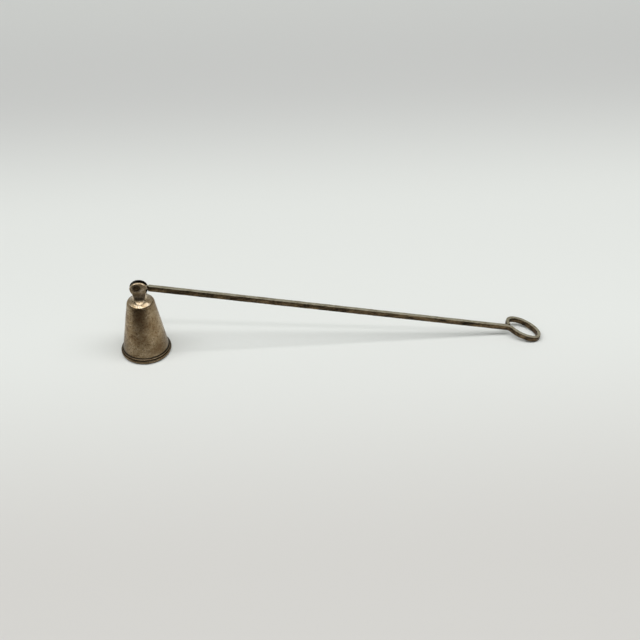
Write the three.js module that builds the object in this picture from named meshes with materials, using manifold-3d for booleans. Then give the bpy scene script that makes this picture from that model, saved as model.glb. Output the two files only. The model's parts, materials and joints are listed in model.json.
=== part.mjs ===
// Candle snuffer: a conical bell under a slotted yoke, riveted to a long thin handle
// that ends in an oval eye. Millimetres, +Z up, +X from the bell to the eye.
// The snuffer stands as it is put down: on the bell's rim and on the far end of the eye.
import * as THREE from 'three';
import { mergeVertices } from 'three/addons/utils/BufferGeometryUtils.js';
import Module from 'manifold-3d';

const wasm = await Module();
wasm.setup();

// ---------------------------------------------------------------- driving dimensions

const GAP = 0.3;                    // clearance left between pieces that touch
const ROUND = 64;                   // segments round a full turn
const SMALL_ROUND = 32;             // segments round the rivet and the screw
const EYE_ROUND = 48;               // segments round half of the eye
const CLEAR = 2;                    // how far a cutting shape reaches past what it cuts

const RIM_RADIUS = 16;
const MOULDING_HEIGHT = 3.6;        // height of the turned moulding round the mouth
const CONE_FOOT_RADIUS = 14.55;     // cone where it leaves the moulding
const WALL = 1.1;
const CROWN_THICKNESS = 1.3;

const ROUNDING = 2;                 // radius of the rounded shoulder above the cone
const ROUNDING_RING = 6.9;          // radius of the ring that the rounding is centred on
const ROUNDING_HEIGHT = 37.4;       // height of that ring
const SEAM_HEIGHT = 39;             // middle of the gap between the bell and the yoke

const NECK_RADIUS = 4.5;
const NECK_FOOT = 43.6;
const NECK_TOP = 44.6;
const HEAD_RADIUS = 5.86;
const HEAD_WIDEST = 49.3;           // height of the head's widest ring
const HEAD_TOP = 54.5;
const CHEEK_HALF_WIDTH = 2.2;       // flats filed on the front and back of the head
const CHEEK_FOOT = 46.6;
const RUN_OUT_FOOT = 40.65;         // where the curve below each flat meets the yoke's foot
const RUN_OUT_REACH = 5.85;
const SLOT_WIDTH = 1.7;
const SLOT_FLOOR = 44.2;

const PIVOT_OFFSET = -1.2;          // the pivot is a little beyond the bell's axis, seen from the handle
const PIVOT_HEIGHT = 50.5;
const RIVET_RADIUS = 1.2;
const RIVET_HEAD_RADIUS = 1.7;
const RIVET_RIM = 0.2;              // thickness of a rivet head at its edge
const RECESS_RADIUS = 2.05;         // round recess in each cheek, which the rivet head sits in
const RECESS_DEPTH = 0.6;
const RIVET_DOME = 0.35;            // how far a rivet head bulges beyond its rim

const SCREW_RADIUS = 1.9;
const SCREW_HEAD_RADIUS = 3.4;
const SCREW_HEAD_HEIGHT = 1.9;
const SCREW_HEAD_CORNER = 0.9;      // rounding round the foot of the screw's head
const SCREW_TOP = 42.6;
const SCREW_CHAMFER = 0.5;
const DRIVER_SLOT = 0.9;            // width and depth of the screwdriver slot

const TONGUE_RADIUS = 3.6;
const TONGUE_STRIP = 0.96;          // height of the tongue's strip, as a share of the bar's
const TONGUE_LENGTH = 7.4;          // pivot to where the bar's full width begins
const BAR_WIDTH = 2.4;
const BAR_END_WIDTH = 2.25;
const BAR_HEIGHT = 3.8;
const BAR_END_HEIGHT = 3.25;

const EYE_DISTANCE = 246.8;         // pivot to the middle of the eye
const EYE_HALF_LENGTH = 12.5;
const EYE_HALF_WIDTH = 7.6;
const EYE_WALL = 2.1;
const EYE_HEIGHT = 3.3;
const EYE_TURN = THREE.MathUtils.degToRad(-40);   // the long way of the eye, turned to the front of the bar

// ---------------------------------------------------------------- worked-out places

function point(x, y) {
  return new THREE.Vector2(x, y);
}

const BELL_TOP = SEAM_HEIGHT - GAP / 2;
const YOKE_FOOT = SEAM_HEIGHT + GAP / 2;
const CROWN_UNDERSIDE = BELL_TOP - CROWN_THICKNESS;
const YOKE_RADIUS = ROUNDING_RING + Math.sqrt(ROUNDING ** 2 - (YOKE_FOOT - ROUNDING_HEIGHT) ** 2);
const SKIRT_SLOPE = (YOKE_RADIUS - ROUNDING_RING) / (YOKE_FOOT - ROUNDING_HEIGHT);
const CONE_RUN = point(CONE_FOOT_RADIUS - ROUNDING_RING, ROUNDING_HEIGHT - MOULDING_HEIGHT);
const CONE_SLOPE = Math.atan2(CONE_RUN.x, CONE_RUN.y) - Math.asin(ROUNDING / CONE_RUN.length());
const TONGUE_WIDTH = SLOT_WIDTH - 2 * GAP;

// The handle slopes down from the pivot until the far end of the eye is on the floor.
const EYE_REACH = Math.hypot(EYE_HALF_LENGTH * Math.cos(EYE_TURN), EYE_HALF_WIDTH * Math.sin(EYE_TURN));
const FAR_END = point(EYE_DISTANCE + EYE_REACH, EYE_HEIGHT / 2);
const HANDLE_SLOPE = Math.asin(PIVOT_HEIGHT / FAR_END.length()) - Math.atan2(FAR_END.y, FAR_END.x);
const HANDLE_END = PIVOT_OFFSET + FAR_END.x * Math.cos(HANDLE_SLOPE) + FAR_END.y * Math.sin(HANDLE_SLOPE);

// ---------------------------------------------------------------- geometry helpers

// Points along a quarter or other arc of an ellipse, angles in degrees.
function arc(x, y, radiusX, radiusY, from, to, steps) {
  const turn = THREE.MathUtils.degToRad;
  return new THREE.EllipseCurve(x, y, radiusX, radiusY, turn(from), turn(to), to < from).getPoints(steps);
}

// A profile of (radius, height) points, turned round the Z axis.
function turned(profile, segments) {
  return new THREE.LatheGeometry(profile, segments).rotateX(Math.PI / 2);
}

function toSolid(geometry) {
  const bare = geometry.clone();
  bare.deleteAttribute('normal');
  bare.deleteAttribute('uv');
  const merged = mergeVertices(bare, 1e-5);
  const mesh = new wasm.Mesh({
    numProp: 3,
    vertProperties: new Float32Array(merged.attributes.position.array),
    triVerts: new Uint32Array(merged.index.array),
  });
  return new wasm.Manifold(mesh);
}

function toGeometry(solid) {
  const { vertProperties, triVerts } = solid.getMesh();
  const geometry = new THREE.BufferGeometry();
  geometry.setAttribute('position', new THREE.BufferAttribute(new Float32Array(vertProperties), 3));
  geometry.setIndex(new THREE.BufferAttribute(new Uint32Array(triVerts), 1));
  geometry.computeVertexNormals();
  return geometry;
}

// A round pin or hole along Y, centred on the pivot.
function acrossPivot(radius, length, y = 0) {
  const cylinder = new THREE.CylinderGeometry(radius, radius, length, SMALL_ROUND);
  return cylinder.translate(PIVOT_OFFSET, y, PIVOT_HEIGHT);
}

// ---------------------------------------------------------------- bell

function coneRadius(height) {
  return CONE_FOOT_RADIUS - (height - MOULDING_HEIGHT) * Math.tan(CONE_SLOPE);
}

// The rounded shoulder between two heights on it. The cone runs into it without a corner.
function shoulderArc(from, to, steps) {
  const angleAt = (height) => THREE.MathUtils.radToDeg(Math.asin((height - ROUNDING_HEIGHT) / ROUNDING));
  return arc(ROUNDING_RING, ROUNDING_HEIGHT, ROUNDING, ROUNDING, angleAt(from), angleAt(to), steps);
}

// The mouth's moulding, from the floor up: a tucked-in foot, an ovolo, a groove, a bead and
// a second groove against the cone.
function mouldingProfile() {
  const footHeight = 1.5;
  const footRadius = 1.2;
  const ovoloTop = 2.35;
  const ovoloRadius = 15.5;
  const grooveFloor = 15;
  const beadFoot = 2.6;
  const beadRadius = 15.3;
  const beadBulge = 0.5;
  const beadTop = 3.4;
  return [
    ...arc(RIM_RADIUS - footRadius, footHeight, footRadius, footHeight, -90, 0, 4),
    ...arc(ovoloRadius, footHeight, RIM_RADIUS - ovoloRadius, ovoloTop - footHeight, 20, 90, 4),
    point(grooveFloor, (ovoloTop + beadFoot) / 2),
    ...arc(beadRadius - beadBulge, (beadFoot + beadTop) / 2, beadBulge, (beadTop - beadFoot) / 2, -60, 80, 5),
  ];
}

function bellGeometry() {
  const coneTop = ROUNDING_HEIGHT + ROUNDING * Math.sin(CONE_SLOPE);
  const holeRadius = SCREW_RADIUS + GAP;
  const mouthRadius = coneRadius(0) - WALL;
  const profile = [
    point(mouthRadius, 0),
    ...mouldingProfile(),
    point(CONE_FOOT_RADIUS, MOULDING_HEIGHT),
    ...shoulderArc(coneTop, BELL_TOP, 3),
    point(holeRadius, BELL_TOP),
    point(holeRadius, CROWN_UNDERSIDE),
    point(coneRadius(CROWN_UNDERSIDE) - WALL, CROWN_UNDERSIDE),
    point(mouthRadius, 0),
  ];
  return toGeometry(toSolid(turned(profile, ROUND)));
}

// ---------------------------------------------------------------- yoke

// Skirt, neck and head, turned from one bar, with the screw's blind hole from below. The
// skirt carries on the rounded shoulder's slope and sweeps up into the neck.
function yokeBlank() {
  const skirt = new THREE.QuadraticBezierCurve(
    point(YOKE_RADIUS, YOKE_FOOT),
    point(NECK_RADIUS, YOKE_FOOT + SKIRT_SLOPE * (YOKE_RADIUS - NECK_RADIUS)),
    point(NECK_RADIUS, NECK_FOOT));
  const swell = [];
  const swellSteps = 7;
  for (let step = 0; step <= swellSteps; step++) {
    const share = step / swellSteps;
    const radius = THREE.MathUtils.lerp(NECK_RADIUS, HEAD_RADIUS, 0.5 - 0.5 * Math.cos(Math.PI * share));
    swell.push(point(radius, THREE.MathUtils.lerp(NECK_TOP, HEAD_WIDEST, share)));
  }
  const dome = arc(0, HEAD_WIDEST, HEAD_RADIUS, HEAD_TOP - HEAD_WIDEST, 0, 90, 9).slice(1, -1);
  const holeRadius = SCREW_RADIUS + GAP;
  const holeTop = SCREW_TOP + GAP;
  return turned([
    point(0, holeTop),
    point(holeRadius, holeTop),
    point(holeRadius, YOKE_FOOT),
    ...skirt.getPoints(10),
    ...swell,
    ...dome,
    point(0, HEAD_TOP),
  ], ROUND);
}

// What is filed off the back of the head: a flat cheek with a curved run-out onto the skirt.
function cheekCutter() {
  const outside = YOKE_RADIUS + CLEAR;
  const above = HEAD_TOP + CLEAR;
  const bend = point(CHEEK_HALF_WIDTH + 0.2, RUN_OUT_FOOT + 1.5);
  const outline = new THREE.Shape();
  outline.moveTo(CHEEK_HALF_WIDTH, above);
  outline.lineTo(CHEEK_HALF_WIDTH, CHEEK_FOOT);
  outline.quadraticCurveTo(bend.x, bend.y, RUN_OUT_REACH, RUN_OUT_FOOT);
  outline.lineTo(outside, RUN_OUT_FOOT);
  outline.lineTo(outside, above);
  outline.closePath();
  const options = { depth: 2 * outside, bevelEnabled: false, curveSegments: 8 };
  const cutter = new THREE.ExtrudeGeometry(outline, options);
  cutter.translate(0, 0, -outside);
  cutter.rotateX(Math.PI / 2);
  cutter.rotateZ(Math.PI / 2);
  return cutter;
}

function yokeGeometry() {
  const slotTop = HEAD_TOP + CLEAR;
  const slot = new THREE.BoxGeometry(2 * (HEAD_RADIUS + CLEAR), SLOT_WIDTH, slotTop - SLOT_FLOOR);
  slot.translate(0, 0, (slotTop + SLOT_FLOOR) / 2);
  let solid = toSolid(yokeBlank()).subtract(toSolid(slot));
  solid = solid.subtract(toSolid(acrossPivot(RIVET_RADIUS + GAP, 4 * HEAD_RADIUS)));
  for (const side of [-1, 1]) {
    const cutter = cheekCutter();
    if (side < 0) cutter.rotateZ(Math.PI);
    const recess = acrossPivot(RECESS_RADIUS, 2 * RECESS_DEPTH, side * CHEEK_HALF_WIDTH);
    solid = solid.subtract(toSolid(cutter)).subtract(toSolid(recess));
  }
  return toGeometry(solid);
}

// ---------------------------------------------------------------- fastenings

// A plain pin with a low domed head set over at each end, lying along Y.
function rivetGeometry() {
  const headSeat = CHEEK_HALF_WIDTH - RECESS_DEPTH + GAP;
  const headRim = headSeat + RIVET_RIM;
  const lowerHead = arc(0, -headRim, RIVET_HEAD_RADIUS, RIVET_DOME, -90, 0, 4).slice(1);
  const upperHead = arc(0, headRim, RIVET_HEAD_RADIUS, RIVET_DOME, 0, 90, 4).slice(0, -1);
  const rivet = turned([
    point(0, -headRim - RIVET_DOME),
    ...lowerHead,
    point(RIVET_HEAD_RADIUS, -headSeat),
    point(RIVET_RADIUS, -headSeat),
    point(RIVET_RADIUS, headSeat),
    point(RIVET_HEAD_RADIUS, headSeat),
    ...upperHead,
    point(0, headRim + RIVET_DOME),
  ], SMALL_ROUND);
  return toGeometry(toSolid(rivet.rotateX(-Math.PI / 2)));
}

// A slotted round-head screw, put in from inside the bell and up into the yoke.
function screwGeometry() {
  const headTop = CROWN_UNDERSIDE - GAP;
  const headFoot = headTop - SCREW_HEAD_HEIGHT;
  const corner = SCREW_HEAD_CORNER;
  const screw = turned([
    point(0, headFoot),
    ...arc(SCREW_HEAD_RADIUS - corner, headFoot + corner, corner, corner, -90, 0, 4),
    point(SCREW_HEAD_RADIUS, headTop),
    point(SCREW_RADIUS, headTop),
    point(SCREW_RADIUS, SCREW_TOP - SCREW_CHAMFER),
    point(SCREW_RADIUS - SCREW_CHAMFER, SCREW_TOP),
    point(0, SCREW_TOP),
  ], SMALL_ROUND);
  const slot = new THREE.BoxGeometry(2 * (SCREW_HEAD_RADIUS + CLEAR), DRIVER_SLOT, 2 * DRIVER_SLOT);
  slot.translate(0, 0, headFoot);
  return toGeometry(toSolid(screw).subtract(toSolid(slot)));
}

// ---------------------------------------------------------------- handle

// The bar runs straight from the pivot to the middle of the eye's wall.
function barLength() {
  const halfLength = EYE_HALF_LENGTH - EYE_WALL / 2;
  const halfWidth = EYE_HALF_WIDTH - EYE_WALL / 2;
  const across = Math.hypot(halfLength * Math.sin(EYE_TURN), halfWidth * Math.cos(EYE_TURN));
  return EYE_DISTANCE - halfLength * halfWidth / across;
}

// The bar from the tongue's end to its own, which tapers a little in both directions.
function barGeometry() {
  const length = barLength();
  const bar = new THREE.BoxGeometry(length - TONGUE_LENGTH, 1, 1);
  bar.translate((length + TONGUE_LENGTH) / 2, 0, 0);
  const place = bar.attributes.position;
  for (let index = 0; index < place.count; index++) {
    const share = place.getX(index) / length;
    place.setY(index, place.getY(index) * THREE.MathUtils.lerp(BAR_WIDTH, BAR_END_WIDTH, share));
    place.setZ(index, place.getZ(index) * THREE.MathUtils.lerp(BAR_HEIGHT, BAR_END_HEIGHT, share));
  }
  return bar;
}

// The thin tongue: a strip as high as the bar, which runs into it, and a disc round the pivot.
function tongueSolid() {
  const length = TONGUE_LENGTH + BAR_WIDTH;
  const strip = new THREE.BoxGeometry(length, TONGUE_WIDTH, BAR_HEIGHT * TONGUE_STRIP);
  strip.translate(length / 2, 0, 0);
  const disc = new THREE.CylinderGeometry(TONGUE_RADIUS, TONGUE_RADIUS, TONGUE_WIDTH, SMALL_ROUND);
  return toSolid(strip).add(toSolid(disc));
}

// The flat oval ring, in line with the bar.
function eyeGeometry() {
  const oval = (shape, inset) =>
    shape.absellipse(0, 0, EYE_HALF_LENGTH - inset, EYE_HALF_WIDTH - inset, 0, 2 * Math.PI, false, EYE_TURN);
  const outline = oval(new THREE.Shape(), 0);
  outline.holes.push(oval(new THREE.Path(), EYE_WALL));
  const options = { depth: EYE_HEIGHT, bevelEnabled: false, curveSegments: EYE_ROUND };
  return new THREE.ExtrudeGeometry(outline, options).translate(EYE_DISTANCE, 0, -EYE_HEIGHT / 2);
}

function handleGeometry() {
  const level = toSolid(barGeometry()).add(tongueSolid()).add(toSolid(eyeGeometry()));
  const slope = THREE.MathUtils.radToDeg(HANDLE_SLOPE);
  const hung = level.rotate([0, slope, 0]).translate([PIVOT_OFFSET, 0, PIVOT_HEIGHT]);
  const hole = acrossPivot(RIVET_RADIUS + GAP, 2 * TONGUE_WIDTH);
  return toGeometry(hung.subtract(toSolid(hole)));
}

// ---------------------------------------------------------------- assembly

function piece(name, geometry, colour, roughness) {
  const material = new THREE.MeshStandardMaterial({ color: colour, roughness, metalness: 1 });
  const mesh = new THREE.Mesh(geometry, material);
  mesh.name = name;
  return mesh;
}

const snuffer = new THREE.Group();
snuffer.name = 'candle_snuffer';
snuffer.add(piece('bell', bellGeometry(), 0x7d6c57, 0.38));
snuffer.add(piece('yoke', yokeGeometry(), 0x84725f, 0.34));
snuffer.add(piece('crown_screw', screwGeometry(), 0x8a7448, 0.45));
const rivet = piece('pivot_rivet', rivetGeometry(), 0x6e5f4e, 0.42);
rivet.position.set(PIVOT_OFFSET, 0, PIVOT_HEIGHT);
snuffer.add(rivet);
snuffer.add(piece('handle', handleGeometry(), 0x6b5d4b, 0.4));

// The origin is under the middle of the whole snuffer, on the surface that it stands on.
snuffer.position.x = (RIM_RADIUS - HANDLE_END) / 2;

export default snuffer;
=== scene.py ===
import json
import math

import bmesh
import bpy
import numpy as np
from mathutils import Matrix, Vector, noise


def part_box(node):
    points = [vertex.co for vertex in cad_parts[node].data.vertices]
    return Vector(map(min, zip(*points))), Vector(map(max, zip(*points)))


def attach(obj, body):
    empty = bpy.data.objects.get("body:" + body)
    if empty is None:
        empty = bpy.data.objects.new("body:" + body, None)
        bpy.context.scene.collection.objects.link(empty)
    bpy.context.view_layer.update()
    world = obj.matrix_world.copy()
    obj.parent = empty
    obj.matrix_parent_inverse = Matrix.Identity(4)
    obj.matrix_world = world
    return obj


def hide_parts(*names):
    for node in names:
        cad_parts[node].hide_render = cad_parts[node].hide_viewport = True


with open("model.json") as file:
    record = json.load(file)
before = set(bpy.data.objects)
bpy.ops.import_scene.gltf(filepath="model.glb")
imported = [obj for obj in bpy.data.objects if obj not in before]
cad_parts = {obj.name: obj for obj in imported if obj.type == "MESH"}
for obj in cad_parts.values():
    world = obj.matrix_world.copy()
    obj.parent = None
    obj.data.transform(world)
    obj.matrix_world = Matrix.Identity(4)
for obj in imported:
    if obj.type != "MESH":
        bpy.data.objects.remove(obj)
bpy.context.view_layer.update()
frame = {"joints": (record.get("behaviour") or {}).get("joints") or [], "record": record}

# ------------------------------------------------------------------ places, from the frame

MM = 0.001
MOUNTS = {mount["name"]: mount for mount in frame["record"]["mounts"]}
PIVOT = Vector(frame["joints"][0]["pos_m"])
BELL_LOW, BELL_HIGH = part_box("bell")
YOKE_LOW, YOKE_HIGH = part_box("yoke")
SCREW_LOW, SCREW_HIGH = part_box("crown_screw")
RIVET_LOW, RIVET_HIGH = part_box("pivot_rivet")

AXIS = Vector(((BELL_LOW.x + BELL_HIGH.x) / 2, PIVOT.y, 0))    # the bell's own axis, on the floor
PIVOT_OFFSET = PIVOT.x - AXIS.x
RIM_RADIUS = (BELL_HIGH.x - BELL_LOW.x) / 2
BELL_TOP = BELL_HIGH.z
YOKE_FOOT = YOKE_LOW.z
HEAD_TOP = YOKE_HIGH.z
SCREW_HEAD_RADIUS = (SCREW_HIGH.x - SCREW_LOW.x) / 2
RIVET_HEAD_RADIUS = (RIVET_HIGH.x - RIVET_LOW.x) / 2
RIVET_END = RIVET_HIGH.y

EYE_CENTRE = Vector(MOUNTS["hanging_eye"]["pos_m"])
HANDLE_TOP = Vector(MOUNTS["hanging_eye"]["axis"])             # square to the flat top of bar and eye
HEADING = Vector((HANDLE_TOP.z, 0, -HANDLE_TOP.x))             # along the bar, down to the eye

# sizes of the snuffer that no box gives
GAP = 0.3 * MM                                # between two pieces that are not to touch
MOULDING_HEIGHT = 3.6 * MM
CONE_FOOT_RADIUS = 14.55 * MM
OVOLO_TOP = 2.35 * MM
BEAD_FOOT, BEAD_TOP = 2.6 * MM, 3.4 * MM
LOWER_GROOVE = (OVOLO_TOP + BEAD_FOOT) / 2
WALL = 1.1 * MM
MOUTH_EDGE = 0.25 * MM
CROWN_THICKNESS = 1.3 * MM
CROWN_UNDER = BELL_TOP - CROWN_THICKNESS
ROUNDING = 2 * MM                             # of the shoulder above the cone
ROUNDING_RING = 6.9 * MM                      # from the bell's axis to the rounding's centre
ROUNDING_HEIGHT = 37.4 * MM
SCREW_RADIUS = 1.9 * MM
SCREW_HOLE_RADIUS = SCREW_RADIUS + GAP
NECK_RADIUS = 4.5 * MM
NECK_FOOT = 43.6 * MM
NECK_TOP = 44.6 * MM
HEAD_RADIUS = 5.86 * MM
HEAD_WIDEST = 49.3 * MM
CHEEK_HALF_WIDTH = 2.2 * MM
CHEEK_FOOT = 46.6 * MM
RUN_OUT_FOOT = 40.65 * MM                     # where the curve below each flat meets the skirt
RUN_OUT_REACH = 5.85 * MM
SLOT_WIDTH = 1.7 * MM
SLOT_FLOOR = 44.2 * MM
RIVET_RADIUS = 1.2 * MM
RIVET_HOLE_RADIUS = RIVET_RADIUS + GAP
RECESS_RADIUS = 2.05 * MM
RECESS_DEPTH = 0.6 * MM
TONGUE_RADIUS = 3.6 * MM
TONGUE_LENGTH = 7.4 * MM
TONGUE_STRIP = 0.96                           # the height of the tongue's strip, as a share of the bar's
BAR_WIDTH, BAR_END_WIDTH = 2.4 * MM, 2.25 * MM
BAR_HEIGHT, BAR_END_HEIGHT = 3.8 * MM, 3.25 * MM
EYE_HALF_LENGTH = 12.5 * MM
EYE_HALF_WIDTH = 7.6 * MM
EYE_WALL = 2.1 * MM
EYE_HEIGHT = 3.3 * MM
EYE_TURN = math.radians(-40)                  # the long way of the eye, turned to the front


# ------------------------------------------------------------------ mesh helpers

def lerp(a, b, share):
    """The value at a share of the way from a to b."""
    return a + (b - a) * share


def ellipse_arc(x, y, radius_x, radius_y, start, end, steps):
    """Points on an ellipse between two angles in degrees."""
    angles = [math.radians(lerp(start, end, step / steps)) for step in range(steps + 1)]
    return [(x + radius_x * math.cos(a), y + radius_y * math.sin(a)) for a in angles]


def bend_curve(start, corner, end, steps):
    """Points on the curve from start to end that is drawn towards corner."""
    points = []
    for step in range(steps + 1):
        t = step / steps
        points.append(tuple(a * (1 - t) ** 2 + 2 * b * t * (1 - t) + c * t * t
                            for a, b, c in zip(start, corner, end)))
    return points


def finished(name, bm):
    """The piece that a bmesh makes, linked to the scene."""
    bmesh.ops.recalc_face_normals(bm, faces=bm.faces)
    mesh = bpy.data.meshes.new(name)
    bm.to_mesh(mesh)
    bm.free()
    piece = bpy.data.objects.new(name, mesh)
    bpy.context.scene.collection.objects.link(piece)
    return piece


def turned(name, profile, segments, closed=False):
    """A piece turned round the vertical axis. Its profile starts and ends on the axis, or is closed."""
    bm = bmesh.new()
    turns = [2 * math.pi * k / segments for k in range(segments)]
    rings = []
    for radius, height in profile:
        on_axis = radius < 1e-7
        around = [0] if on_axis else turns
        rings.append([bm.verts.new((radius * math.cos(a), radius * math.sin(a), height)) for a in around])
    pairs = list(zip(rings, rings[1:]))
    if closed:
        pairs.append((rings[-1], rings[0]))
    for lower, upper in pairs:
        for k in range(segments):
            after = (k + 1) % segments
            corners = (lower[k % len(lower)], lower[after % len(lower)],
                       upper[after % len(upper)], upper[k % len(upper)])
            bm.faces.new(list(dict.fromkeys(corners)))
    return finished(name, bm)


def prism(name, outline, depth):
    """A closed outline of (x, z) points, depth deep along Y, centred on y = 0."""
    bm = bmesh.new()
    front = [bm.verts.new((x, -depth / 2, z)) for x, z in outline]
    back = [bm.verts.new((x, depth / 2, z)) for x, z in outline]
    bm.faces.new(front)
    bm.faces.new(list(reversed(back)))
    for k in range(len(outline)):
        after = (k + 1) % len(outline)
        bm.faces.new((front[k], back[k], back[after], front[after]))
    return finished(name, bm)


def block(name, x_range, z_range, depth):
    """A rectangular block, depth deep along Y, centred on y = 0."""
    (left, right), (low, high) = x_range, z_range
    return prism(name, [(left, low), (right, low), (right, high), (left, high)], depth)


def circle(x, z, radius, sides=64):
    """Points round a circle, each once."""
    return ellipse_arc(x, z, radius, radius, 0, 360, sides)[:-1]


def drum(name, radius, depth, y=0.0):
    """A round cutter lying along Y through the pivot, for a bell whose axis is at the origin."""
    piece = prism(name, circle(PIVOT_OFFSET, PIVOT.z, radius), depth)
    piece.data.transform(Matrix.Translation((0, y, 0)))
    return piece


def apply_modifier(piece, kind, **settings):
    """Adds a modifier to a piece and makes its result the piece's mesh."""
    modifier = piece.modifiers.new(kind.lower(), kind)
    for key, value in settings.items():
        setattr(modifier, key, value)
    bpy.context.view_layer.update()
    depsgraph = bpy.context.evaluated_depsgraph_get()
    mesh = bpy.data.meshes.new_from_object(piece.evaluated_get(depsgraph))
    piece.modifiers.clear()
    old = piece.data
    piece.data = mesh
    bpy.data.meshes.remove(old)


def combine(piece, other, operation):
    """Cuts other from piece, or joins it to piece, and removes it."""
    apply_modifier(piece, "BOOLEAN", operation=operation, object=other, solver="EXACT")
    bpy.data.objects.remove(other)


def join_points(piece):
    """Joins points that lie on top of each other, so that no face is left without size."""
    bm = bmesh.new()
    bm.from_mesh(piece.data)
    bmesh.ops.remove_doubles(bm, verts=bm.verts, dist=0.001 * MM)
    bm.to_mesh(piece.data)
    bm.free()


def coordinates(mesh):
    """The place of each vertex, one to a row."""
    places = np.empty(len(mesh.vertices) * 3)
    mesh.vertices.foreach_get("co", places)
    return places.reshape(-1, 3)


def edge_ends(mesh):
    """The two vertices of each edge, one edge to a row."""
    ends = np.empty(len(mesh.edges) * 2, dtype=int)
    mesh.edges.foreach_get("vertices", ends)
    return ends.reshape(-1, 2)


def neighbour_mean(values, ends):
    """For each vertex, the mean of values over the vertices that an edge joins it to."""
    total = np.zeros_like(values)
    count = np.zeros(len(values))
    for here, there in ((0, 1), (1, 0)):
        np.add.at(total, ends[:, here], values[ends[:, there]])
        np.add.at(count, ends[:, here], 1)
    count = np.maximum(count, 1)
    return total / (count[:, None] if values.ndim > 1 else count)


def worn_down(piece, weight, rounds):
    """Rounds edges off. In each round a vertex goes half of weight(places) of the way to its neighbours."""
    mesh = piece.data
    ends = edge_ends(mesh)
    places = coordinates(mesh)
    share = weight(places)[:, None] * 0.5
    for _ in range(rounds):
        places += (neighbour_mean(places, ends) - places) * share
    mesh.vertices.foreach_set("co", places.ravel())
    mesh.update()


def uneven(piece, depth, size, seed):
    """Moves the surface a little, mostly inwards, as filing, hammering and handling leave it."""
    mesh = piece.data
    normals = [vertex.normal.copy() for vertex in mesh.vertices]
    for vertex, normal in zip(mesh.vertices, normals):
        where = vertex.co / size + Vector((seed, 2 * seed, 3 * seed))
        vertex.co += normal * depth * (noise.noise(where) - 0.5)


def mark_edges(piece, reach):
    """Keeps how convex the surface is, blurred over reach, as the attribute edge: above 0 on ridges."""
    mesh = piece.data
    ends = edge_ends(mesh)
    places = coordinates(mesh)
    normals = np.empty(len(mesh.vertices) * 3)
    mesh.vertex_normals.foreach_get("vector", normals)
    lengths = np.linalg.norm(places[ends[:, 0]] - places[ends[:, 1]], axis=1)
    step = np.median(lengths)
    rounds = max(1, round((reach / step) ** 2))
    bulge = ((places - neighbour_mean(places, ends)) * normals.reshape(-1, 3)).sum(axis=1) / step ** 2
    for _ in range(rounds):
        bulge = 0.5 * bulge + 0.5 * neighbour_mean(bulge, ends)
    mesh.attributes.new("edge", "FLOAT", "POINT").data.foreach_set("value", bulge * MM)


def smooth_shaded(piece, angle):
    """Shades a piece smooth, apart from edges that are sharper than angle, in degrees."""
    mesh = piece.data
    mesh.polygons.foreach_set("use_smooth", [True] * len(mesh.polygons))
    mesh.set_sharp_from_angle(angle=math.radians(angle))
    mesh.update()


def placed(piece, node, body, material, at=AXIS):
    """Moves a piece to its place, where it stands for a CAD node and rides on a body."""
    piece.data.transform(Matrix.Translation(at))
    piece.data.materials.clear()
    piece.data.materials.append(material)
    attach(piece, body)
    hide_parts(node)
    return piece


# ------------------------------------------------------------------ material helpers

class Nodes:
    """A node tree, with the few node kinds that the materials and the world here use."""

    def __init__(self, tree):
        self.tree = tree

    def node(self, kind, inputs=(), **settings):
        made = self.tree.nodes.new(kind)
        for key, value in settings.items():
            setattr(made, key, value)
        for key, value in dict(inputs).items():
            self.feed(made.inputs[key], value)
        return made

    def feed(self, socket, value):
        """Gives a socket its value, which is another node's output or a constant."""
        if isinstance(value, bpy.types.NodeSocket):
            self.tree.links.new(value, socket)
        else:
            socket.default_value = value

    def math(self, operation, first, *others):
        """Joins values by one operation, from the left."""
        for other in others:
            first = self.node("ShaderNodeMath", {0: first, 1: other}, operation=operation).outputs[0]
        return first

    def plus(self, *values):
        return self.math("ADD", *values)

    def minus(self, a, b):
        return self.math("SUBTRACT", a, b)

    def times(self, *values):
        return self.math("MULTIPLY", *values)

    def greatest(self, *values):
        return self.math("MAXIMUM", *values)

    def without_sign(self, value):
        return self.node("ShaderNodeMath", {0: value}, operation="ABSOLUTE").outputs[0]

    def between(self, value, low, high, to_low=0.0, to_high=1.0):
        """value from low to high becomes to_low to to_high, held at both ends."""
        made = self.node("ShaderNodeMapRange", {
            "Value": value, "From Min": low, "From Max": high, "To Min": to_low, "To Max": to_high},
            interpolation_type="SMOOTHSTEP")
        return made.outputs[0]

    def near(self, value, centre, reach, to=1.0):
        """to where value is within a quarter of reach of centre, falling to 0 at reach from it."""
        return self.between(self.without_sign(self.minus(value, centre)), reach, 0.25 * reach, 0, to)

    def mix(self, share, a, b):
        """Colour a where share is 0 and colour b where it is 1."""
        made = self.node("ShaderNodeMix", {"Factor": share}, data_type="RGBA")
        for socket, colour in ((made.inputs[6], a), (made.inputs[7], b)):
            self.feed(socket, (*colour, 1) if isinstance(colour, tuple) else colour)
        return made.outputs[2]

    def vector_math(self, operation, a, b):
        made = self.node("ShaderNodeVectorMath", {0: a, 1: tuple(b)}, operation=operation)
        return made.outputs["Value"]


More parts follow.
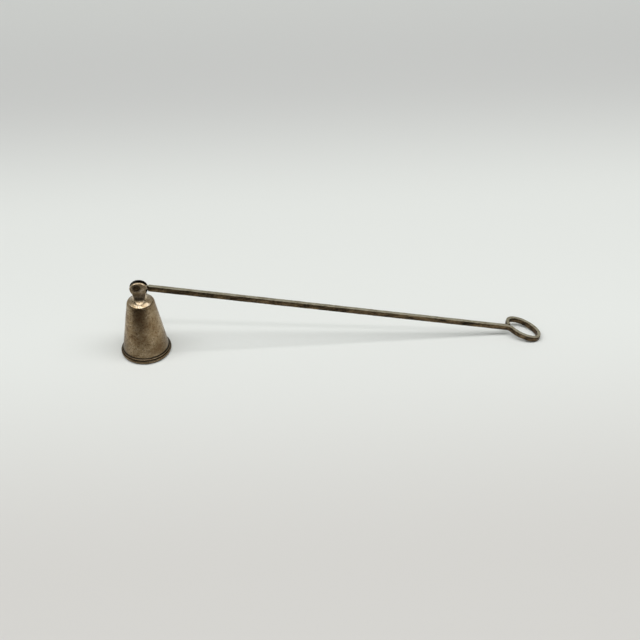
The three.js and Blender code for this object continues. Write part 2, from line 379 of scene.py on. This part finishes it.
class Surface(Nodes):
    """A material's nodes, which know where on the object they are."""

    def __init__(self, name):
        self.material = bpy.data.materials.new(name)
        self.material.use_nodes = True
        super().__init__(self.material.node_tree)
        self.shader = self.tree.nodes["Principled BSDF"]
        self.where = self.node("ShaderNodeTexCoord").outputs["Object"]

    def noise(self, size, detail=3.0, roughness=0.55, stretch=(1, 1, 1), distortion=0.0):
        """Noise of that grain size in metres, from 0 to 1."""
        scaled = self.node("ShaderNodeMapping", {"Vector": self.where, "Scale": stretch}).outputs[0]
        return self.node("ShaderNodeTexNoise", {
            "Vector": scaled, "Scale": 1 / size, "Detail": detail, "Roughness": roughness,
            "Distortion": distortion}).outputs[0]

    def axes(self):
        """The place's x, y and z."""
        made = self.node("ShaderNodeSeparateXYZ", {0: self.where})
        return made.outputs[0], made.outputs[1], made.outputs[2]

    def distance_to(self, point):
        return self.vector_math("DISTANCE", self.where, point)

    def edge(self):
        """How convex the piece is here, as mark_edges leaves it."""
        return self.node("ShaderNodeAttribute", attribute_name="edge").outputs["Fac"]

    def finish(self, colour, roughness, height, depth):
        """Makes it a metal of that colour and roughness, raised by depth where height is 1."""
        self.feed(self.shader.inputs["Base Color"], colour)
        self.feed(self.shader.inputs["Roughness"], roughness)
        bump = self.node("ShaderNodeBump", {"Height": height, "Distance": depth, "Strength": 1.0})
        self.feed(self.shader.inputs["Normal"], bump.outputs[0])
        self.shader.inputs["Metallic"].default_value = 1.0
        return self.material


BLACK = (0.016, 0.012, 0.008)
BROWN = (0.095, 0.062, 0.034)
UMBER = (0.135, 0.092, 0.050)
RUSSET = (0.20, 0.122, 0.062)
DULL_GREY = (0.22, 0.19, 0.13)
KHAKI = (0.295, 0.212, 0.120)
FAWN = (0.42, 0.32, 0.205)
GREY = (0.42, 0.385, 0.30)
PALE = (0.70, 0.58, 0.43)
BARE_BRASS = (0.50, 0.36, 0.15)


# ------------------------------------------------------------------ metals

def clouds(surface, size):
    """Soft clouds of tarnish with smaller ones inside them, 0 to 1."""
    large = surface.noise(size, detail=3, distortion=0.4)
    small = surface.noise(size / 4.5, detail=4, roughness=0.7)
    return surface.plus(surface.times(large, 0.5), surface.times(small, 0.5))


def specks(surface, size, share):
    """1 in small specks and pits, 0 elsewhere."""
    grain = surface.noise(size, detail=1.5, roughness=0.5)
    return surface.between(grain, 1 - share, 1 - share + 0.06)


def plate_colour(surface, colours, cloud, grain, spots):
    """Light and dark by the clouds, darker by grain and specks, bright on ridges and black in hollows."""
    dark, middle, light = colours
    colour = surface.mix(surface.between(cloud, 0.49, 0.60), middle, light)
    colour = surface.mix(surface.between(cloud, 0.49, 0.38), colour, dark)
    colour = surface.mix(surface.between(grain, 0.50, 0.68, 0, 0.5), colour, dark)
    colour = surface.mix(surface.times(spots, 0.85), colour, BROWN)
    edge = surface.edge()
    colour = surface.mix(surface.between(edge, 0.12, 0.7, 0, 0.7), colour, light)
    return surface.mix(surface.between(edge, -0.12, -0.6, 0, 0.75), colour, BLACK)


def turned_metal(name, colours, size, shade_and_dirt=None, roughness=(0.44, 0.30), depth=0.02 * MM):
    """Worn silver plate turned on a lathe: clouds of tarnish, dark specks, faint rings, and, where a mask is
    given, dirt and painted shade.
    """
    surface = Surface(name)
    cloud = clouds(surface, size)
    grain = surface.noise(0.45 * MM, roughness=0.7)
    spots = specks(surface, 1.0 * MM, 0.38)
    colour = plate_colour(surface, colours, cloud, grain, spots)
    # painted shade and dirt: the given mask darkens the colour towards black
    if shade_and_dirt:
        colour = surface.mix(shade_and_dirt(surface), colour, BLACK)
    rings = surface.noise(0.3 * MM, detail=2, stretch=(0.02, 0.02, 1))
    height = surface.plus(surface.times(rings, 0.5), surface.times(grain, 0.35))
    height = surface.minus(height, surface.times(spots, 0.8))
    rough = surface.plus(surface.between(cloud, 0.35, 0.65, *roughness), surface.times(spots, 0.2))
    surface.shader.inputs["Anisotropic"].default_value = 0.55
    tangent = surface.node("ShaderNodeTangent", direction_type="RADIAL", axis="Z")
    surface.feed(surface.shader.inputs["Tangent"], tangent.outputs[0])
    return surface.finish(colour, rough, height, depth)


def bell_darkening_and_painted_shade(surface):
    """Darker in the moulding's grooves and over the moulding; painted shade under its foot and on the lower
    cone; at the top of the cone darker, partly tarnish and partly painted shade.
    """
    height = surface.axes()[2]
    lower_groove = surface.near(height, LOWER_GROOVE, 0.5 * MM, 0.95)
    upper_groove = surface.near(height, MOULDING_HEIGHT + 0.15 * MM, 0.9 * MM)
    moulding = surface.between(height, MOULDING_HEIGHT + 0.5 * MM, MOULDING_HEIGHT, 0, 0.34)
    # painted shade: the foot blackened where it meets the floor
    foot = surface.between(height, 1.3 * MM, 0.7 * MM, 0, 0.92)
    # painted shade: the lower cone darkened, standing in for a dimmer reflection
    lower_cone_shade = surface.between(height, 22 * MM, 6 * MM, 0, 0.32)
    # partly tarnish, partly painted shade: the top of the cone a little darker
    cone_top = surface.between(height, 28 * MM, 37 * MM, 0, 0.12)
    return surface.greatest(lower_groove, upper_groove, moulding, foot, lower_cone_shade, cone_top)


def yoke_painted_shade_and_dirt(surface):
    """Painted shade in the slot (with tarnish), round the recesses, at the top behind the slot, on the skirt
    below the neck and on its run-outs; painted shade with dirt where the bar lies; the cheek faces a little
    darker.
    """
    across, depth, height = surface.axes()
    side = surface.minus(across, AXIS.x)
    off_axis = surface.without_sign(side)
    off_middle = surface.without_sign(depth)
    # painted shade with tarnish: black in the slot, down to just above its floor
    slot_shade_and_tarnish = surface.times(
        surface.between(off_middle, SLOT_WIDTH / 2 + 0.5 * MM, SLOT_WIDTH / 2 + 0.2 * MM),
        surface.between(height, SLOT_FLOOR - 0.3 * MM, SLOT_FLOOR))
    # painted shade round the rivet recesses
    recess = surface.between(surface.distance_to(PIVOT), 4.2 * MM, 2.9 * MM, 0, 0.7)
    # painted shade with dirt on the head's side where the bar enters
    bar_side_shade_and_dirt = surface.times(
        surface.between(side, 4.2 * MM, 4.8 * MM),
        surface.between(height, NECK_FOOT, NECK_TOP),
        surface.between(height, 50.2 * MM, 49.2 * MM))
    # painted shade at the top of the head behind the slot
    slot_shade_at_top = surface.times(
        surface.between(depth, 0.4 * MM, 0.9 * MM),
        surface.between(height, 52 * MM, 53.2 * MM))
    # slightly darker on the flat cheek faces
    cheek = surface.times(
        surface.between(off_middle, 1.6 * MM, 2.0 * MM, 0, 0.04),
        surface.between(height, 43 * MM, 45.5 * MM))
    # painted shade at the foot of the run-outs, below the neck
    run_out = surface.times(
        surface.near(height, 42.2 * MM, 2.0 * MM, 0.55),
        surface.between(off_axis, 3.4 * MM, 1.8 * MM))
    # painted shade on the skirt just below the neck
    skirt = surface.between(height, 43 * MM, 41 * MM, 0, 0.3)
    return surface.greatest(slot_shade_and_tarnish, recess, bar_side_shade_and_dirt, slot_shade_at_top, cheek, run_out, skirt)


def handle_metal():
    """Forged bar: its sides under dark mottled tarnish, its top a painted highlight in pale grey; the tongue
    black, painted shade with tarnish in the slot.
    """
    surface = Surface("forged_bar_metal")
    streaks = surface.noise(2.4 * MM, roughness=0.6, stretch=(0.3, 1, 1))
    fine = surface.noise(0.6 * MM, roughness=0.6, stretch=(0.35, 1, 1))
    cloud = surface.plus(surface.times(streaks, 0.6), surface.times(fine, 0.4))
    sides = surface.mix(surface.between(cloud, 0.38, 0.60), BLACK, UMBER)
    sides = surface.mix(surface.between(cloud, 0.57, 0.68, 0, 0.8), sides, KHAKI)
    top = surface.mix(surface.between(cloud, 0.36, 0.6), DULL_GREY, GREY)
    # painted highlight: faces that look up take the pale grey top colour, the rest keep the dark side colour
    facing = surface.node("ShaderNodeNewGeometry").outputs["Normal"]
    upward = surface.node("ShaderNodeSeparateXYZ", {0: facing}).outputs[2]
    colour = surface.mix(surface.between(upward, 0.78, 0.95), sides, top)
    # painted shade with tarnish: the tongue in the slot blackened near the pivot
    tongue = surface.between(surface.distance_to(PIVOT), 5.4 * MM, 4.6 * MM)
    colour = surface.mix(tongue, colour, BLACK)
    roughness = surface.between(cloud, 0.35, 0.65, 0.5, 0.34)
    return surface.finish(colour, roughness, cloud, 0.05 * MM)


# ------------------------------------------------------------------ bell

# the cone runs from the top of the moulding to where it touches the rounded shoulder
CONE_RUN = Vector((CONE_FOOT_RADIUS - ROUNDING_RING, ROUNDING_HEIGHT - MOULDING_HEIGHT))
CONE_SLOPE = math.atan2(CONE_RUN.x, CONE_RUN.y) - math.asin(ROUNDING / CONE_RUN.length)


def cone_radius(height):
    """The outside of the cone."""
    return CONE_FOOT_RADIUS - (height - MOULDING_HEIGHT) * math.tan(CONE_SLOPE)


def shoulder_arc(start, end, steps):
    """Points on the rounded shoulder between two heights."""
    sines = [min((height - ROUNDING_HEIGHT) / ROUNDING, 1) for height in (start, end)]
    angles = [math.degrees(math.asin(sine)) for sine in sines]
    return ellipse_arc(ROUNDING_RING, ROUNDING_HEIGHT, ROUNDING, ROUNDING, *angles, steps)


def moulding_profile():
    """From the floor up: a tucked-in foot, an ovolo, a groove, a bead and a second groove at the cone."""
    foot_radius, foot_height = 1.2 * MM, 1.5 * MM
    ovolo_radius = 15.5 * MM
    groove_radius = 15 * MM
    bead_radius, bead_bulge = 15.3 * MM, 0.5 * MM
    outline = ellipse_arc(RIM_RADIUS - foot_radius, foot_height, foot_radius, foot_height, -90, 0, 12)
    outline += ellipse_arc(ovolo_radius, foot_height,
                           RIM_RADIUS - ovolo_radius, OVOLO_TOP - foot_height, 8, 90, 14)
    outline.append((groove_radius, LOWER_GROOVE))
    outline += ellipse_arc(bead_radius - bead_bulge, (BEAD_FOOT + BEAD_TOP) / 2,
                           bead_bulge, (BEAD_TOP - BEAD_FOOT) / 2, -65, 75, 12)
    return outline


def cone_profile(first, last, inset, rows):
    """Points on the cone, or inset from it, from the first height to just short of the last."""
    heights = [lerp(first, last, row / rows) for row in range(rows)]
    return [(cone_radius(height) - inset, height) for height in heights]


def crown_profile(start, end, height, steps):
    """Points straight across the crown, from radius start to just short of radius end."""
    return [(lerp(start, end, step / steps), height) for step in range(steps)]


def bell_profile():
    """Right round the bell's wall, from the mouth's edge up the outside and down the inside."""
    mouth = cone_radius(0) - WALL
    cone_top = ROUNDING_HEIGHT + ROUNDING * math.sin(CONE_SLOPE)
    seam_edge = 0.12 * MM
    shoulder = shoulder_arc(cone_top, BELL_TOP - seam_edge, steps=6)
    seam_radius = shoulder[-1][0] - seam_edge
    inside_corner = cone_radius(CROWN_UNDER) - WALL
    outline = [(mouth, MOUTH_EDGE), (mouth + MOUTH_EDGE, 0)]
    outline += moulding_profile()
    outline += cone_profile(MOULDING_HEIGHT, cone_top, inset=0, rows=60)
    outline += shoulder
    outline += crown_profile(seam_radius, SCREW_HOLE_RADIUS, BELL_TOP, steps=8)
    outline.append((SCREW_HOLE_RADIUS, BELL_TOP))
    outline += crown_profile(SCREW_HOLE_RADIUS, inside_corner, CROWN_UNDER, steps=6)
    outline += cone_profile(CROWN_UNDER, MOUTH_EDGE, inset=WALL, rows=40)
    return outline


def make_bell(material):
    bell = turned("turned_bell", bell_profile(), segments=224, closed=True)
    uneven(bell, depth=0.06 * MM, size=8 * MM, seed=4)
    mark_edges(bell, reach=0.35 * MM)
    smooth_shaded(bell, angle=35)
    return placed(bell, "bell", "bell", material)


# ------------------------------------------------------------------ yoke

def skirt_profile():
    """From the seam, in line with the bell's shoulder, in a curve to the foot of the neck."""
    rise = YOKE_FOOT - ROUNDING_HEIGHT
    foot_radius = ROUNDING_RING + math.sqrt(ROUNDING ** 2 - rise ** 2)
    slope = (foot_radius - ROUNDING_RING) / rise
    corner = (NECK_RADIUS, YOKE_FOOT + slope * (foot_radius - NECK_RADIUS))
    return bend_curve((foot_radius, YOKE_FOOT), corner, (NECK_RADIUS, NECK_FOOT), steps=36)


def head_profile():
    """From the top of the neck, swelling to the head's widest place, and over its round top."""
    steps = 16
    outline = []
    for step in range(steps + 1):
        swell = 0.5 - 0.5 * math.cos(math.pi * step / steps)
        outline.append((lerp(NECK_RADIUS, HEAD_RADIUS, swell), lerp(NECK_TOP, HEAD_WIDEST, step / steps)))
    outline += ellipse_arc(0, HEAD_WIDEST, HEAD_RADIUS, HEAD_TOP - HEAD_WIDEST, 0, 90, 20)[1:-1]
    outline.append((0, HEAD_TOP))
    return outline


def yoke_profile():
    """The screw's blind hole from its top down, then the outside from the seam up."""
    hole_top = SCREW_HIGH.z + GAP
    hole = [(0, hole_top), (SCREW_HOLE_RADIUS, hole_top), (SCREW_HOLE_RADIUS, YOKE_FOOT)]
    return hole + skirt_profile() + head_profile()


# how far the yoke's cutters stand out beyond it
OVERSHOOT = 2 * MM


def cheek_cutter(side):
    """What is filed off one side of the head, with its curved run-out onto the skirt."""
    outside, above = 10 * MM, HEAD_TOP + OVERSHOOT
    corner = (CHEEK_HALF_WIDTH + 0.2 * MM, RUN_OUT_FOOT + 1.5 * MM)
    run_out = bend_curve((CHEEK_HALF_WIDTH, CHEEK_FOOT), corner, (RUN_OUT_REACH, RUN_OUT_FOOT), steps=24)
    outline = [(CHEEK_HALF_WIDTH, above), *run_out, (outside, RUN_OUT_FOOT), (outside, above)]
    cutter = prism("cheek_cutter", outline, 2 * outside)
    cutter.data.transform(Matrix.Rotation(math.radians(90 * side), 4, "Z"))
    return cutter


def head_wear(places):
    """The head's outer edges are worn round, and all other edges only a little."""
    from_pivot = np.hypot(places[:, 0] - PIVOT_OFFSET, places[:, 2] - PIVOT.z)
    clear_of_recess = from_pivot > RECESS_RADIUS + 0.85 * MM
    clear_of_neck = places[:, 2] > NECK_TOP + 0.9 * MM
    clear_of_slot = np.abs(places[:, 1]) > SLOT_WIDTH / 2 + 0.25 * MM
    return np.where(clear_of_recess & clear_of_neck & clear_of_slot, 1.0, 0.12)


def make_yoke(material):
    yoke = turned("slotted_yoke", yoke_profile(), segments=160)
    reach = HEAD_RADIUS + OVERSHOOT
    slot = block("slot_cutter", (-reach, reach), (SLOT_FLOOR, HEAD_TOP + OVERSHOOT), SLOT_WIDTH)
    combine(yoke, slot, "DIFFERENCE")
    combine(yoke, drum("rivet_hole", RIVET_HOLE_RADIUS, 4 * HEAD_RADIUS), "DIFFERENCE")
    for side in (-1, 1):
        combine(yoke, cheek_cutter(side), "DIFFERENCE")
        combine(yoke, drum("recess", RECESS_RADIUS, 2 * RECESS_DEPTH, side * CHEEK_HALF_WIDTH), "DIFFERENCE")
    apply_modifier(yoke, "REMESH", mode="VOXEL", voxel_size=0.11 * MM, use_smooth_shade=True)
    worn_down(yoke, head_wear, rounds=18)
    uneven(yoke, depth=0.025 * MM, size=2.5 * MM, seed=9)
    mark_edges(yoke, reach=0.35 * MM)
    smooth_shaded(yoke, angle=60)
    return placed(yoke, "yoke", "bell", material)


# ------------------------------------------------------------------ rivet and screw

def rivet_profile():
    """From the front dome over its head and the shank to the back dome."""
    seat = CHEEK_HALF_WIDTH - RECESS_DEPTH + GAP
    rim = seat + 0.2 * MM
    dome = RIVET_END - rim
    front = ellipse_arc(0, -rim, RIVET_HEAD_RADIUS, dome, -90, 0, 12)[1:]
    back = ellipse_arc(0, rim, RIVET_HEAD_RADIUS, dome, 0, 90, 12)[:-1]
    profile = [(0, -RIVET_END), *front, (RIVET_HEAD_RADIUS, -seat), (RIVET_RADIUS, -seat)]
    profile += [(RIVET_RADIUS, seat), (RIVET_HEAD_RADIUS, seat), *back, (0, RIVET_END)]
    return profile


def make_rivet(material):
    rivet = turned("peened_rivet", rivet_profile(), segments=64)
    rivet.data.transform(Matrix.Rotation(math.radians(-90), 4, "X"))
    uneven(rivet, depth=0.08 * MM, size=0.8 * MM, seed=2)
    mark_edges(rivet, reach=0.2 * MM)
    smooth_shaded(rivet, angle=50)
    return placed(rivet, "pivot_rivet", "bell", material, at=PIVOT)


def screw_profile():
    """From the rounded head up the shank, whose turned grooves stand in for its thread."""
    corner, chamfer = 0.9 * MM, 0.5 * MM
    pitch, groove = 0.7 * MM, 0.25 * MM
    head_top = CROWN_UNDER - GAP
    thread_top = SCREW_HIGH.z - chamfer
    profile = [(0, SCREW_LOW.z)]
    profile += ellipse_arc(SCREW_HEAD_RADIUS - corner, SCREW_LOW.z + corner, corner, corner, -90, 0, 8)
    profile += [(SCREW_HEAD_RADIUS, head_top), (SCREW_RADIUS, head_top)]
    turns = int((thread_top - head_top) / pitch) - 1
    for turn in range(1, turns + 1):
        height = head_top + turn * pitch
        profile += [(SCREW_RADIUS - groove, height), (SCREW_RADIUS, height + pitch / 2)]
    profile += [(SCREW_RADIUS, thread_top), (SCREW_RADIUS - chamfer, SCREW_HIGH.z), (0, SCREW_HIGH.z)]
    return profile


def make_screw(material):
    screw = turned("slotted_screw", screw_profile(), segments=64)
    slot = 0.9 * MM
    reach = 2 * SCREW_HEAD_RADIUS
    cutter = block("driver_slot", (-reach, reach), (SCREW_LOW.z - slot, SCREW_LOW.z + slot), slot)
    combine(screw, cutter, "DIFFERENCE")
    apply_modifier(screw, "BEVEL", width=0.08 * MM, segments=2, limit_method="ANGLE",
                   angle_limit=math.radians(50))
    join_points(screw)
    mark_edges(screw, reach=0.2 * MM)
    smooth_shaded(screw, angle=40)
    return placed(screw, "crown_screw", "bell", material)


# ------------------------------------------------------------------ handle

# half the length and half the width of the middle line of the eye's wall
WALL_HALF_LENGTH = EYE_HALF_LENGTH - EYE_WALL / 2
WALL_HALF_WIDTH = EYE_HALF_WIDTH - EYE_WALL / 2


def eye_point(angle):
    """A point on the middle line of the eye's wall."""
    lengthways = WALL_HALF_LENGTH * math.cos(angle)
    sideways = WALL_HALF_WIDTH * math.sin(angle)
    along = lengthways * math.cos(EYE_TURN) - sideways * math.sin(EYE_TURN)
    across = lengthways * math.sin(EYE_TURN) + sideways * math.cos(EYE_TURN)
    return EYE_CENTRE + HEADING * along + Vector((0, across, 0))


# where the middle line of the eye's wall crosses the bar's own middle line
JOIN_ANGLE = math.pi + math.atan2(-WALL_HALF_LENGTH * math.sin(EYE_TURN),
                                  WALL_HALF_WIDTH * math.cos(EYE_TURN))
JOIN = eye_point(JOIN_ANGLE)
BAR_LENGTH = (JOIN - PIVOT).length
BEND_REACH = 3 * MM                           # how far before the join the bar starts to bend
BEND_ANGLE = math.radians(16)                 # how far round the eye the bend ends
FREE_ANGLE = math.radians(350)                # how far round its free end is, just short of the bar


def bar_stations():
    """The straight bar as (place, width, height) of its cross sections."""
    steps = 240
    stations = []
    for step in range(steps + 1):
        along = lerp(TONGUE_LENGTH, BAR_LENGTH - BEND_REACH, step / steps)
        share = along / BAR_LENGTH
        width = lerp(BAR_WIDTH, BAR_END_WIDTH, share)
        stations.append((PIVOT + HEADING * along, width, lerp(BAR_HEIGHT, BAR_END_HEIGHT, share)))
    return stations


def bend_stations(start):
    """The bend from the end of the bar, at start, into the eye, without its two ends."""
    end = eye_point(JOIN_ANGLE + BEND_ANGLE)
    steps = 9
    stations = []
    for step in range(1, steps):
        t = step / steps
        place = start * (1 - t) ** 2 + JOIN * 2 * t * (1 - t) + end * t * t
        stations.append((place, lerp(BAR_END_WIDTH, EYE_WALL, t), lerp(BAR_END_HEIGHT, EYE_HEIGHT, t)))
    return stations


def eye_stations():
    """Round the eye, from the end of the bend to the free end."""
    steps = 120
    angles = [JOIN_ANGLE + lerp(BEND_ANGLE, FREE_ANGLE, step / steps) for step in range(steps + 1)]
    return [(eye_point(angle), EYE_WALL, EYE_HEIGHT) for angle in angles]


def rounded_section(width, height, corner, steps=3):
    """A rectangle with rounded corners, as (side, up) points."""
    points = []
    for quadrant, (side, up) in enumerate(((1, 1), (-1, 1), (-1, -1), (1, -1))):
        centre = (side * (width / 2 - corner), up * (height / 2 - corner))
        points += ellipse_arc(*centre, corner, corner, 90 * quadrant, 90 * quadrant + 90, steps)
    return points


def lofted(name, stations, corner):
    """A closed bar through (place, width, height) stations, its flat top facing along HANDLE_TOP."""
    bm = bmesh.new()
    places = [place for place, _, _ in stations]
    loops = []
    for k, (place, width, height) in enumerate(stations):
        tangent = (places[min(k + 1, len(places) - 1)] - places[max(k - 1, 0)]).normalized()
        side = HANDLE_TOP.cross(tangent).normalized()
        section = rounded_section(width, height, corner)
        loops.append([bm.verts.new(place + side * u + HANDLE_TOP * v) for u, v in section])
    for before, after in zip(loops, loops[1:]):
        for k in range(len(before)):
            beside = (k + 1) % len(before)
            bm.faces.new((before[k], before[beside], after[beside], after[k]))
    bm.faces.new(list(reversed(loops[0])))
    bm.faces.new(loops[-1])
    return finished(name, bm)


def make_tongue():
    """The thin plate in the slot: round about the pivot, then a strip that runs into the bar."""
    width = SLOT_WIDTH - 2 * GAP
    half_height = TONGUE_STRIP / 2 * BAR_HEIGHT
    tongue = prism("tongue", circle(0, 0, TONGUE_RADIUS), width)
    strip = block("strip", (0, TONGUE_LENGTH + BAR_WIDTH), (-half_height, half_height), width)
    combine(tongue, strip, "UNION")
    slope = math.asin(-HEADING.z)
    tongue.data.transform(Matrix.Translation(PIVOT) @ Matrix.Rotation(slope, 4, "Y"))
    return tongue


def make_handle(material):
    bar = bar_stations()
    bar_end = bar[-1][0]
    stations = bar + bend_stations(bar_end) + eye_stations()
    handle = lofted("forged_handle", stations, corner=0.12 * MM)
    combine(handle, make_tongue(), "UNION")
    hole = drum("tongue_hole", RIVET_HOLE_RADIUS, 4 * SLOT_WIDTH)
    hole.data.transform(Matrix.Translation(AXIS))
    combine(handle, hole, "DIFFERENCE")
    uneven(handle, depth=0.08 * MM, size=5 * MM, seed=7)
    mark_edges(handle, reach=0.3 * MM)
    smooth_shaded(handle, angle=35)
    return placed(handle, "handle", "handle", material, at=Vector((0, 0, 0)))


# ------------------------------------------------------------------ studio

BACKDROP = (0.66, 0.67, 0.65)
PALE_TABLE = (0.74, 0.757, 0.735)
# painted shade on the table, in front and behind
SHADED_FRONT_TABLE = (0.60, 0.59, 0.57)
SHADED_BACK_TABLE = (0.60, 0.605, 0.595)
UNLIT_TABLE = (0.06, 0.05, 0.042)
TENT = (0.62, 0.635, 0.605)
DIM_TENT = (0.24, 0.245, 0.235)
TENT_OPENING = (0.015, 0.014, 0.012)


def table_colour(surface):
    """Pale round the snuffer, with painted shade that makes it greyer behind and in front. In reflections in
    the metal its front is painted dark, a painted dark reflection.
    """
    along, back, _ = surface.axes()
    # painted shade: a grey band behind the snuffer
    behind = surface.times(surface.between(back, 0.14, 0.33), surface.between(back, 0.34, 0.56, 1, 0.3))
    colour = surface.mix(behind, PALE_TABLE, SHADED_BACK_TABLE)
    # painted shade: greyer towards the front
    colour = surface.mix(surface.between(back, 0.03, -0.20), colour, SHADED_FRONT_TABLE)
    slant = surface.between(along, AXIS.x - 0.06, AXIS.x + 0.06, -0.018, 0.024)
    # painted dark reflection: only rays reflected from the metal see the front dark
    in_front = surface.between(surface.plus(back, slant), -0.018, -0.10)
    in_metal = surface.node("ShaderNodeLightPath").outputs["Is Glossy Ray"]
    return surface.mix(surface.times(in_front, in_metal), colour, UNLIT_TABLE)


def make_floor():
    """A pale sheet that passes into an even backdrop far away."""
    bm = bmesh.new()
    bmesh.ops.create_grid(bm, x_segments=1, y_segments=1, size=20)
    floor = finished("floor", bm)
    surface = Surface("pale_floor")
    surface.feed(surface.shader.inputs["Base Color"], table_colour(surface))
    surface.shader.inputs["Roughness"].default_value = 0.9
    surface.shader.inputs["Specular IOR Level"].default_value = 0.1
    far = surface.between(surface.distance_to((0, 0, 0)), 0.7, 1.6)
    even = surface.node("ShaderNodeEmission", {"Color": (*BACKDROP, 1)}).outputs[0]
    joined = surface.node("ShaderNodeMixShader", {0: far, 1: surface.shader.outputs[0], 2: even})
    surface.feed(surface.tree.nodes["Material Output"].inputs["Surface"], joined.outputs[0])
    floor.data.materials.append(surface.material)


def make_light(name, place, aim, size, power):
    """A rectangular light at place, turned to aim."""
    data = bpy.data.lights.new(name, "AREA")
    data.shape = "RECTANGLE"
    data.size, data.size_y = size
    data.energy = power
    light = bpy.data.objects.new(name, data)
    light.location = place
    light.rotation_euler = (Vector(aim) - Vector(place)).to_track_quat("-Z", "Y").to_euler()
    bpy.context.scene.collection.objects.link(light)


def make_world():
    """A white tent, open and dark towards the front. Seen directly it is the plain backdrop."""
    world = bpy.data.worlds.new("white_tent")
    bpy.context.scene.world = world
    world.use_nodes = True
    nodes = Nodes(world.node_tree)
    direction = nodes.node("ShaderNodeTexCoord").outputs["Generated"]
    front = Vector((-0.2, -1, 0.25)).normalized()
    open_share = nodes.between(nodes.vector_math("DOT_PRODUCT", direction, front), 0.55, 0.80)
    rays = nodes.node("ShaderNodeLightPath").outputs
    colour = nodes.mix(open_share, TENT, TENT_OPENING)
    colour = nodes.mix(rays["Is Diffuse Ray"], colour, DIM_TENT)
    colour = nodes.mix(rays["Is Camera Ray"], colour, BACKDROP)
    nodes.feed(world.node_tree.nodes["Background"].inputs["Color"], colour)


def make_camera():
    """The camera looks down at the snuffer's middle from in front."""
    aim = Vector((-6.2, 22.0, 0)) * MM
    distance = 979.2 * MM
    elevation, heading, roll = math.radians(39.02), math.radians(-0.31), math.radians(2.17)
    look = Vector((-math.sin(heading) * math.cos(elevation), math.cos(heading) * math.cos(elevation),
                   -math.sin(elevation)))
    upright = look.to_track_quat("-Z", "Y")
    data = bpy.data.cameras.new("camera")
    data.sensor_width = 36
    data.lens = 84.4
    camera = bpy.data.objects.new("camera", data)
    camera.location = aim - look * distance
    camera.rotation_mode = "QUATERNION"
    camera.rotation_quaternion = upright @ Matrix.Rotation(-roll, 3, "Z").to_quaternion()
    bpy.context.scene.collection.objects.link(camera)
    bpy.context.scene.camera = camera


bpy.context.scene.view_settings.view_transform = "Standard"
make_floor()
make_world()
make_light("top_panel", place=(0, -0.18, 1.5), aim=(0, -0.18, 0), size=(3.6, 0.7), power=30)
make_light("front_strip", place=(0, -0.80, 1.45), aim=(0, 0, 0), size=(1.2, 0.05), power=3.3)
make_camera()

make_bell(turned_metal("bell_metal", (RUSSET, KHAKI, FAWN), 6 * MM, bell_darkening_and_painted_shade, (0.36, 0.26)))
make_yoke(turned_metal("yoke_metal", (KHAKI, FAWN, PALE), 3 * MM, yoke_painted_shade_and_dirt, (0.42, 0.34), 0.008 * MM))
make_rivet(turned_metal("rivet_metal", (BLACK, BROWN, KHAKI), 1.5 * MM))
make_screw(turned_metal("screw_metal", (BROWN, BARE_BRASS, BARE_BRASS), 3 * MM))
make_handle(handle_metal())
